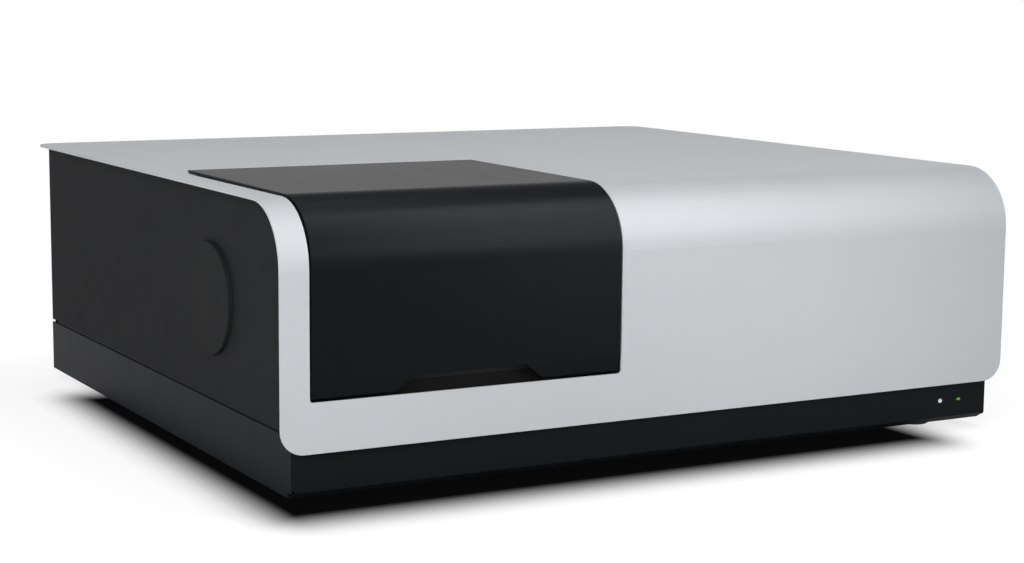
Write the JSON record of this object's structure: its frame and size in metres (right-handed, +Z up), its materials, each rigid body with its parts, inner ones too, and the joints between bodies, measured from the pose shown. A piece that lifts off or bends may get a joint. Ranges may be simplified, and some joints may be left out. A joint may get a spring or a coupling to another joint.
{
  "type": "benchtop fluorometer",
  "caption": "Wide benchtop fluorometer with a curved silver cover, black panels, a lidded sample chamber at the front left, and a lamp, gratings and detector on an optical bench.",
  "frame": {"origin": "on the table, under the middle of the cover", "axes": "+Z up, +X to the right seen from the front, +Y to the back"},
  "size_m": [0.96, 0.858, 0.3237],
  "materials": {
    "cover_paint": "satin silver-white paint",
    "black_panel": "fine-textured black powder coat",
    "tray_paint": "satin black powder coat",
    "lid_paint": "satin black paint",
    "port_cover": "satin black",
    "foot_rubber": "matte",
    "foam": "matte closed-cell foam",
    "steel": "brushed",
    "dark_sheet": "satin",
    "magnet": "plated",
    "aluminium": "machined",
    "white_lens": "diffusing lens",
    "green_lens": "diffusing lens",
    "bench_plate": "machined",
    "chamber_black": "black anodised",
    "module_black": "black anodised",
    "clear_glass": "clear",
    "lens_glass": "clear",
    "filter_glass": "tinted",
    "white_plastic": "satin",
    "casting": "as-cast, machined faces",
    "casting_lid": "satin sheet",
    "mirror_coating": "front-surface mirror",
    "mount_black": "black anodised",
    "grating": "ruled",
    "coil": "wound coil in a black case",
    "motor_black": "satin",
    "switch_black": "gloss",
    "black_plastic": "matte",
    "supply_case": "sheet",
    "circuit_board": "solder mask"
  },
  "bodies": {
    "chassis": {"top_cover": "cover_paint", "left_side_panel": "black_panel", "right_side_panel": "black_panel", "base_tray": "tray_paint", "rear_panel": "black_panel", "feet": "foot_rubber", "lid_seal": "foam", "lid_hinge_bracket": "dark_sheet", "side_port_ring": "aluminium", "status_light": "white_lens", "power_arrow": "green_lens", "optical_bench": "bench_plate", "bench_pillars": "aluminium", "sample_chamber": "chamber_black", "excitation_housing": "casting", "excitation_lid": "casting_lid", "monochromator_mirrors": "mirror_coating", "mirror_mounts": "mount_black", "excitation_slits": "mount_black", "shutter_solenoid": "coil", "beam_splitter": "lens_glass", "reference_detector": "dark_sheet", "emission_housing": "casting", "emission_lid": "casting_lid", "emission_slits": "mount_black", "drive_motors": "motor_black", "detector_housing": "aluminium", "detector_tube": "lens_glass", "lamp_housing": "casting_lid", "lamp_reflector": "mirror_coating", "arc_lamp": "clear_glass", "lamp_duct": "aluminium", "fan_frame": "black_plastic", "fan_guard": "steel", "power_supplies": "supply_case", "control_board": "circuit_board", "rear_sockets": "black_plastic"},
    "lid": {"sample_lid": "lid_paint", "lid_hinge_arms": "steel", "lid_hinge_shaft": "steel", "lid_magnets": "magnet"},
    "side_port": {"side_port_cover": "port_cover"},
    "module": {"sample_module": "module_black", "module_handle": "steel", "cuvette_holder": "module_black", "lens_mounts": "module_black", "condenser_lenses": "lens_glass"},
    "cell": {"cuvette": "clear_glass", "cuvette_stopper": "white_plastic"},
    "excitation_turret": {"excitation_turret": "mount_black", "excitation_gratings": "grating"},
    "emission_turret": {"emission_turret": "mount_black", "emission_gratings": "grating"},
    "excitation_wheel": {"excitation_filter_wheel": "mount_black", "excitation_filters": "filter_glass"},
    "emission_wheel": {"emission_filter_wheel": "mount_black", "emission_filters": "filter_glass"},
    "shutter": {"shutter_blade": "dark_sheet"},
    "fan": {"fan_rotor": "black_plastic"},
    "power_switch": {"power_rocker": "switch_black"}
  },
  "joints": [
    {"name": "lid_hinge", "type": "hinge", "parent": "chassis", "child": "lid", "pos_m": [-0.26025, -0.051, 0.3], "axis": [-1, 0, 0], "range_deg": [0, 75]},
    {"name": "side_port_pull", "type": "slide", "parent": "chassis", "child": "side_port", "axis": [-1, 0, 0], "range_m": [0, 0.025]},
    {"name": "module_lift", "type": "slide", "parent": "chassis", "child": "module", "axis": [0, 0, 1], "range_m": [0, 0.04]},
    {"name": "cuvette_lift", "type": "slide", "parent": "module", "child": "cell", "axis": [0, 0, 1], "range_m": [0, 0.045]},
    {"name": "excitation_grating_turn", "type": "hinge", "parent": "chassis", "child": "excitation_turret", "pos_m": [0.235, -0.089, 0.193], "axis": [0, 0, 1], "continuous": true},
    {"name": "emission_grating_turn", "type": "hinge", "parent": "chassis", "child": "emission_turret", "pos_m": [-0.33225, 0.063, 0.193], "axis": [0, 0, 1], "continuous": true},
    {"name": "excitation_wheel_turn", "type": "hinge", "parent": "chassis", "child": "excitation_wheel", "pos_m": [-0.024, -0.199, 0.158], "axis": [1, 0, 0], "continuous": true},
    {"name": "emission_wheel_turn", "type": "hinge", "parent": "chassis", "child": "emission_wheel", "pos_m": [-0.26025, -0.001, 0.158], "axis": [0, 1, 0], "continuous": true},
    {"name": "shutter_travel", "type": "slide", "parent": "chassis", "child": "shutter", "axis": [0, 0, 1], "range_m": [0, 0.028]},
    {"name": "fan_spin", "type": "hinge", "parent": "chassis", "child": "fan", "pos_m": [0.365, 0.389, 0.193], "axis": [0, 1, 0], "continuous": true},
    {"name": "power_rocker_tilt", "type": "hinge", "parent": "chassis", "child": "power_switch", "pos_m": [0.302, 0.409, 0.08], "axis": [-1, 0, 0], "range_deg": [0, 16]}
  ]
}
